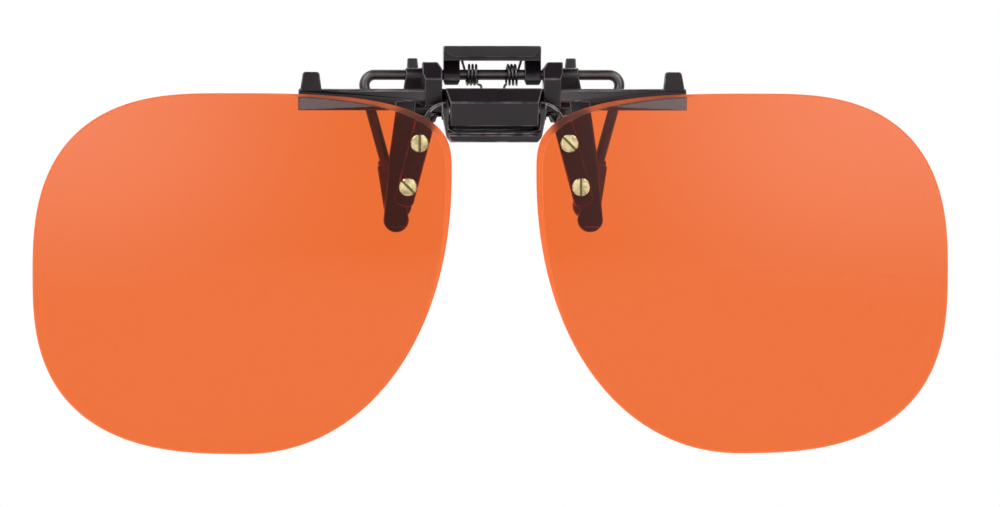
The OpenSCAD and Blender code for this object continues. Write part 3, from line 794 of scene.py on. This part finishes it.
def eased(node, name, material, edge, wear_and_highlight_strength, segments):
    """A copy of a CAD node, merged into whole faces, with rounded edges marked for wear and painted
    highlight.
    """
    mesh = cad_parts[node].data.copy()
    mesh.name = name
    work = bmesh.new()
    work.from_mesh(mesh)
    bmesh.ops.remove_doubles(work, verts=work.verts, dist=0.001 * MM)
    bmesh.ops.dissolve_limit(
        work, angle_limit=math.radians(1), verts=work.verts, edges=work.edges
    )
    mark = work.faces.layers.float.new("eased_edge")
    corners = [
        line for line in work.edges
        if line.is_manifold and line.is_convex
        and line.calc_face_angle(0) > math.radians(ROUNDED_FROM)
    ]
    rounded = bmesh.ops.bevel(
        work, geom=corners, offset=edge * MM, offset_type="OFFSET", segments=segments,
        profile=0.5, affect="EDGES", clamp_overlap=False,
    )
    arcs = set(rounded["faces"])
    for face in arcs:
        face[mark] = wear_and_highlight_strength
    for face in work.faces:
        face.smooth = True
    for line in work.edges:
        rounding = any(face in arcs for face in line.link_faces)
        line.smooth = rounding or line.calc_face_angle(0) < math.radians(SMOOTH_BELOW)
    work.to_mesh(mesh)
    work.free()
    mesh.materials.clear()
    mesh.materials.append(material)
    piece = bpy.data.objects.new(name, mesh)
    bpy.context.scene.collection.objects.link(piece)
    flat_faces = piece.modifiers.new("flat_faces", "WEIGHTED_NORMAL")
    flat_faces.keep_sharp = True
    flat_faces.weight = 100
    return baked(piece)


def path_mesh(name, points):
    """A mesh of one open line through points in millimetres."""
    mesh = bpy.data.meshes.new(name)
    mesh.from_pydata(
        [Vector(point) * MM for point in points],
        [(i, i + 1) for i in range(len(points) - 1)], [],
    )
    return mesh


# Shapes of the pieces

def corner(side, end, fullness, backwards=False):
    """One rounded corner of the lens's outline, from its side point towards its end point."""
    points = []
    for step in range(CORNER_STEPS):
        share = step / CORNER_STEPS
        turn = math.pi / 2 * (1 - share if backwards else share)
        across, up = math.cos(turn), math.sin(turn)
        reach = (across ** fullness + up ** fullness) ** (-1 / fullness)
        points.append((
            end[0] + (side[0] - end[0]) * across * reach,
            side[1] + (end[1] - side[1]) * up * reach,
        ))
    return points


def lens_outline(side):
    """The lens's outline for the right, 1, or the left, -1, as a line through points."""
    nose = (LENS_LOW.x, LENS_HIGH.z - NOSE_DROP * LENS_H)
    crown = (LENS_LOW.x + CROWN_SHARE * LENS_W, LENS_HIGH.z)
    cheek = (LENS_HIGH.x, LENS_HIGH.z - CHEEK_DROP * LENS_H)
    foot = (LENS_LOW.x + FOOT_SHARE * LENS_W, LENS_LOW.z)
    points = (
        corner(nose, crown, UPPER_NOSE_FULLNESS)
        + corner(cheek, crown, CHEEK_FULLNESS, backwards=True)
        + corner(cheek, foot, CHEEK_FULLNESS)
        + corner(nose, foot, LOWER_NOSE_FULLNESS, backwards=True)
    )
    if side < 0:
        points.reverse()
    return path_mesh("lens_outline", [(side * x, 0, z) for x, z in points])


def clamp_wire_path():
    """The clamp wire's own line: a leg, a bend, the straight run, a bend and a leg."""
    half = [
        (BEND_X + BEND_R * math.sin(turn), WIRE_Y, WIRE_Z - BEND_R + BEND_R * math.cos(turn))
        for turn in (
            (math.pi / 2 + LEG_LEAN) * step / BEND_STEPS for step in range(BEND_STEPS + 1)
        )
    ]
    x, y, z = half[-1]
    for step in range(1, LEG_STEPS + 1):
        down = LEG_L * step / LEG_STEPS
        half.append((x - down * math.sin(LEG_LEAN), y, z - down * math.cos(LEG_LEAN)))
    other = [(-x, y, z) for x, y, z in reversed(half)]
    run = [
        (BEND_X * (2 * step / RUN_STEPS - 1), WIRE_Y, WIRE_Z) for step in range(1, RUN_STEPS)
    ]
    return other + run + half


def spring_path(side):
    """A torsion spring's line: a foot on the finger block, close turns, a leg to the lever."""
    foot_z = span("spring_right")[0].z
    head_z = span("spring_right")[1].z
    start = -math.pi / 2
    points = [
        (FOOT_X, FOOT_Y, foot_z),
        (FOOT_X + 0.04, FOOT_Y + 0.06, foot_z + 0.25),
        (FOOT_X + 0.14, FOOT_Y + 0.3, foot_z + 0.48),
        (FOOT_X + 0.3, 0.3, WIRE_Z - COIL_R - 0.05),
    ]
    steps = round(COIL_TURNS * TURN_STEPS)
    for step in range(steps + 1):
        share = step / steps
        turn = start + share * 2 * math.pi * COIL_TURNS
        points.append((
            COIL_IN + share * (COIL_OUT - COIL_IN),
            WIRE_Y + COIL_R * math.cos(turn),
            WIRE_Z + COIL_R * math.sin(turn),
        ))
    points += [
        (COIL_OUT + 0.12, WIRE_Y + COIL_R + 0.02, WIRE_Z + 0.5),
        (COIL_OUT + 0.36, WIRE_Y + COIL_R, WIRE_Z + 1.3),
        (SPRING_HEAD_X, WIRE_Y + COIL_R, WIRE_Z + 2.0),
        (SPRING_HEAD_X, WIRE_Y + COIL_R, head_z),
    ]
    return [(side * x, y, z) for x, y, z in points]


def lens(name, side, tree, material):
    """One lens with its two screw holes."""
    seat = Vector((side * LENS_SEAT.x, LENS_FRONT + LENS_T + LENS_BALL_R, LENS_SEAT.z))
    middle = Vector((side * (LENS_LOW.x + LENS_W / 2), 0, LENS_LOW.z + LENS_H / 2))
    half_w = LENS_W / 2
    hand = "right" if side > 0 else "left"
    holes = {}
    for hole in ("upper", "lower"):
        low, high = span(f"screw_{hole}_{hand}")
        centre = (low + high) / 2
        holes[f"{hole}_hole"] = [centre.x * MM, (LENS_FRONT + LENS_T / 2) * MM, centre.z * MM]
    return grown(
        name, tree, LENS_CREASE, lens_outline(side),
        middle=list(middle * MM), ball_centre=list(seat * MM), ball_radius=LENS_BALL_R * MM,
        thickness=LENS_T * MM, slope_start=(LENS_FRONT + POLISHED_EDGE_D) * MM,
        slope_rate=POLISHED_EDGE_W / POLISHED_EDGE_D / half_w / MM, slope_depth=SLOPE_DEPTH,
        edge_bevel=LENS_BEVEL * MM, bevel_share=LENS_BEVEL / half_w, rings=DOME_RINGS,
        ring_crowding=RING_CROWDING, hole_radius=SCREW_HOLE_R * MM, material=material, **holes,
    )


def screw(name, tree, material):
    """One slotted screw, with its head where the CAD node's head is."""
    low, high = span(name)
    head_r = (high.x - low.x) / 2
    return grown(
        name + "_slotted", tree, SCREW_CREASE, bevel=HEAD_EASING,
        place=[(low.x + high.x) / 2 * MM, LENS_FRONT * MM, (low.z + high.z) / 2 * MM],
        head_radius=head_r * MM, head_height=(LENS_FRONT - low.y) * MM, crown=HEAD_CROWN * MM,
        chamfer=HEAD_CHAMFER * MM, slot_width=SLOT_W * MM, slot_depth=SLOT_D * MM,
        slot_turn=math.radians(SCREW_SLOTS[name]), shank_radius=SHANK_R * MM,
        shank_length=(high.y - LENS_FRONT) * MM, material=material,
    )


def build_pieces():
    """Every piece of the glasses, each on its body and in its node's place."""
    groups = {
        "fine_grain": make_fine_grain(),
        "edge_rub": make_edge_wear_and_highlight(),
        "drawn_streaks": make_drawn_streaks(),
        "handling_marks": make_handling_marks(),
    }
    moulding = make_black_moulding(groups)
    sleeve = make_soft_sleeve(groups)
    # Each moulding's edge rounding in mm, how strongly its rounded edges carry wear and a painted
    # highlight, and rounding steps.
    for node, body, slot, material, edge, wear_and_highlight_strength, segments in (
        ("clip_body", "clip", "black_moulding", moulding, 0.18, 0.45, 3),
        ("lens_carrier", "flip", "black_moulding", moulding, 0.17, 1.0, 3),
        ("thumb_lever", "clamp", "black_moulding", moulding, 0.14, 0.4, 3),
        ("shoe_left", "clamp", "soft_sleeve", sleeve, 0.3, 0.0, 4),
        ("shoe_right", "clamp", "soft_sleeve", sleeve, 0.3, 0.0, 4),
        ("flip_pin", "flip", "pin_steel", make_pin_steel(groups), 0.1, 0.0, 3),
    ):
        settle(eased(node, node + "_eased", material, edge, wear_and_highlight_strength, segments), body, slot, node)

    resin = make_orange_lens(groups)
    domed = make_domed_lens(make_ball_face())
    for node, side in (("lens_left", -1), ("lens_right", 1)):
        settle(lens(node + "_domed", side, domed, resin), "flip", "orange_lens", node)

    brass = make_screw_brass(groups)
    slotted = make_slotted_screw()
    for node in SCREW_SLOTS:
        settle(screw(node, slotted, brass), "flip", "screw_brass", node)

    swept = make_swept_wire()
    dark = make_wire("darkened_wire", groups, (0.040, 0.037, 0.037), (0.066, 0.061, 0.061), 9, 0.30)
    wire = grown(
        "clamp_wire_swept", swept, WIRE_CREASE,
        path_mesh("clamp_wire_path", clamp_wire_path()),
        wire_radius=WIRE_R * MM, sides=WIRE_SIDES, material=dark,
    )
    settle(wire, "clamp", "dark_wire", "clamp_wire")
    spring_steel = make_wire(
        "dark_spring_steel", groups, (0.030, 0.028, 0.028), (0.055, 0.052, 0.052), 2.5, 0.24
    )
    for node, side in (("spring_left", -1), ("spring_right", 1)):
        spring = grown(
            node + "_wound", swept, WIRE_CREASE,
            path_mesh(node + "_path", spring_path(side)),
            wire_radius=SPRING_WIRE_R * MM, sides=SPRING_SIDES, material=spring_steel,
        )
        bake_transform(spring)
        settle(spring, None, "spring_wire", node)


# Studio

FLOOR_Z = -80
FLOOR_R = 620
FLOOR_GREY = 0.86
FLOOR_LIFT = 0.42

# Brightness of the room's parts, where the plain front is about 0.6 and paper white is 1.
SIDE_GLOW = 4.0
PANEL_GLOW = 4.35
REAR_GLOW = 1.5
SHADE_GREY = 0.55

# The lit panel's middle, half width, edges and the droop of its lower edge, as slopes.
PANEL_X = 0.048
PANEL_HALF = 0.192
PANEL_LOW = 0.1003
PANEL_HIGH = 0.16
PANEL_DROOP = 0.031

# The view's middle in millimetres, the camera's angles in degrees, its distance in metres and
# the width of what the picture shows, in metres.
VIEW_MIDDLE = (1.14, 1.6, -8.85)
VIEW_AZIMUTH = -2.8
VIEW_ELEVATION = 0.4
VIEW_DISTANCE = 0.9
VIEW_W = 0.142


def make_floor():
    """A round pale floor under the glasses that fades out towards its rim."""
    work = bmesh.new()
    bmesh.ops.create_circle(work, cap_ends=True, segments=96, radius=FLOOR_R * MM)
    bmesh.ops.translate(work, verts=work.verts, vec=(0, 0, FLOOR_Z * MM))
    mesh = bpy.data.meshes.new("floor")
    work.to_mesh(mesh)
    work.free()
    floor = bpy.data.objects.new("floor", mesh)
    bpy.context.scene.collection.objects.link(floor)

    material = bpy.data.materials.new("pale_floor")
    material.use_nodes = True
    tree = material.node_tree
    tree.nodes.clear()
    place = add(tree, "ShaderNodeTexCoord").outputs["Object"]
    away = vector_sums(tree, "LENGTH", vector_sums(tree, "MULTIPLY", place, (1, 1, 0)))
    path = add(tree, "ShaderNodeLightPath").outputs
    # Reflections see the floor's lift only away from its middle: a painted shade round the glasses.
    gloss = sums(tree, "MULTIPLY", path["Is Glossy Ray"], ramp(tree, away, 0.03, 0.15))
    seen = sums(
        tree, "MAXIMUM", path["Is Camera Ray"], gloss, path["Is Transmission Ray"]
    )
    matt = add(tree, "ShaderNodeBsdfDiffuse", {"Color": (FLOOR_GREY, FLOOR_GREY, FLOOR_GREY, 1)})
    lift = add(tree, "ShaderNodeEmission", {
        "Color": (1, 1, 1, 1), "Strength": sums(tree, "MULTIPLY", seen, FLOOR_LIFT),
    })
    lit = add(tree, "ShaderNodeAddShader", {0: matt.outputs[0], 1: lift.outputs[0]})
    fade = ramp(tree, away, 0.35 * FLOOR_R * MM, 0.97 * FLOOR_R * MM)
    clear = add(tree, "ShaderNodeBsdfTransparent")
    mix = add(tree, "ShaderNodeMixShader", {0: fade, 1: lit.outputs[0], 2: clear.outputs[0]})
    out = add(tree, "ShaderNodeOutputMaterial", {"Surface": mix.outputs[0]})
    out.is_active_output = True
    mesh.materials.append(material)


def front_glow(tree, way, aside):
    """The room's front: brighter near the floor, and brighter to both sides above it."""
    side = sums(
        tree, "MULTIPLY", ramp(tree, aside, -0.03, 0.5), ramp(tree, aside, 0.62, 0.85, 1.0, 0.1),
    )
    rise = ramp(tree, way["Z"], -0.32, 0.12)
    return sums(
        tree, "ADD", ramp(tree, way["Z"], -0.6, -0.22, 1.5, 0.58),
        sums(tree, "MULTIPLY", side, rise, SIDE_GLOW),
    )


def panel_glow(tree, way):
    """The lit panel above the camera, in the slopes at which the glasses see it."""
    nearness = sums(tree, "MAXIMUM", sums(tree, "MULTIPLY", way["Y"], -1.0), 0.05)
    across = sums(
        tree, "ABSOLUTE",
        sums(tree, "SUBTRACT", sums(tree, "DIVIDE", way["X"], nearness), PANEL_X),
    )
    up = sums(tree, "DIVIDE", way["Z"], nearness)
    low_edge = sums(tree, "ADD", up, sums(tree, "MULTIPLY", across, PANEL_DROOP))
    return sums(
        tree, "MULTIPLY",
        ramp(tree, low_edge, PANEL_LOW - 0.001, PANEL_LOW + 0.001),
        ramp(tree, up, PANEL_HIGH - 0.01, PANEL_HIGH + 0.01, 1.0, 0.0),
        ramp(tree, across, PANEL_HALF - 0.001, PANEL_HALF + 0.001, PANEL_GLOW, 0.0),
    )


def make_world():
    """White behind the glasses. Gloss sees a room: a front that grows brighter to both sides, a
    lit panel just above the camera and a dim ceiling. For shade the room is grey."""
    world = bpy.data.worlds.new("studio")
    world.use_nodes = True
    bpy.context.scene.world = world
    tree = world.node_tree
    tree.nodes.clear()
    way = add(tree, "ShaderNodeSeparateXYZ", {
        0: add(tree, "ShaderNodeTexCoord").outputs["Generated"],
    }).outputs
    aside = sums(tree, "ABSOLUTE", way["X"])
    ceiling = sums(
        tree, "MAXIMUM", ramp(tree, way["Z"], 0.3, 0.8, 1.0, 0.02), ramp(tree, aside, 0.2, 0.6),
    )
    lit = sums(tree, "ADD", front_glow(tree, way, aside), panel_glow(tree, way))
    behind = ramp(tree, way["Y"], 0.1, 0.4)
    gloss = between(tree, behind, sums(tree, "MULTIPLY", lit, ceiling), REAR_GLOW)
    path = add(tree, "ShaderNodeLightPath").outputs
    shade = between(tree, path["Is Diffuse Ray"], gloss, SHADE_GREY)
    seen = sums(tree, "MAXIMUM", path["Is Camera Ray"], path["Is Transmission Ray"])
    sky = add(tree, "ShaderNodeBackground", {
        "Color": (1, 1, 1, 1), "Strength": between(tree, seen, shade, 1.0),
    })
    add(tree, "ShaderNodeOutputWorld", {"Surface": sky.outputs[0]})


def look_at(thing, target):
    """Turns a lamp or camera to a point in metres."""
    thing.rotation_euler = (Vector(target) - thing.location).to_track_quat("-Z", "Y").to_euler()


def make_lamp(name, place, width, power):
    """A square soft lamp that points at the glasses, with its place and width in metres."""
    data = bpy.data.lights.new(name, "AREA")
    data.shape = "SQUARE"
    data.size = width
    data.energy = power
    lamp = bpy.data.objects.new(name, data)
    bpy.context.scene.collection.objects.link(lamp)
    lamp.location = place
    look_at(lamp, (0, 0, 0))


def make_camera():
    """The photograph's view: square on, a little from the glasses' own right."""
    data = bpy.data.cameras.new("camera")
    camera = bpy.data.objects.new("camera", data)
    bpy.context.scene.collection.objects.link(camera)
    target = Vector(VIEW_MIDDLE) * MM
    azimuth, elevation = math.radians(VIEW_AZIMUTH), math.radians(VIEW_ELEVATION)
    camera.location = target + VIEW_DISTANCE * Vector((
        math.sin(azimuth) * math.cos(elevation),
        -math.cos(azimuth) * math.cos(elevation),
        math.sin(elevation),
    ))
    look_at(camera, target)
    data.sensor_width = 36
    data.lens = data.sensor_width * VIEW_DISTANCE / VIEW_W
    data.clip_start, data.clip_end = 0.01, 20
    bpy.context.scene.camera = camera


def light_studio():
    """The floor, the room and the lamps."""
    make_floor()
    make_world()
    make_lamp("left_softbox", (-0.55, -0.75, 0.62), 0.35, 3.2)
    make_lamp("right_softbox", (0.6, -0.7, 0.58), 0.35, 2.6)
    make_lamp("rear_softbox", (0.1, 0.8, 0.7), 0.4, 2.0)


build_pieces()
light_studio()
make_camera()

bpy.context.scene.view_settings.view_transform = "Standard"
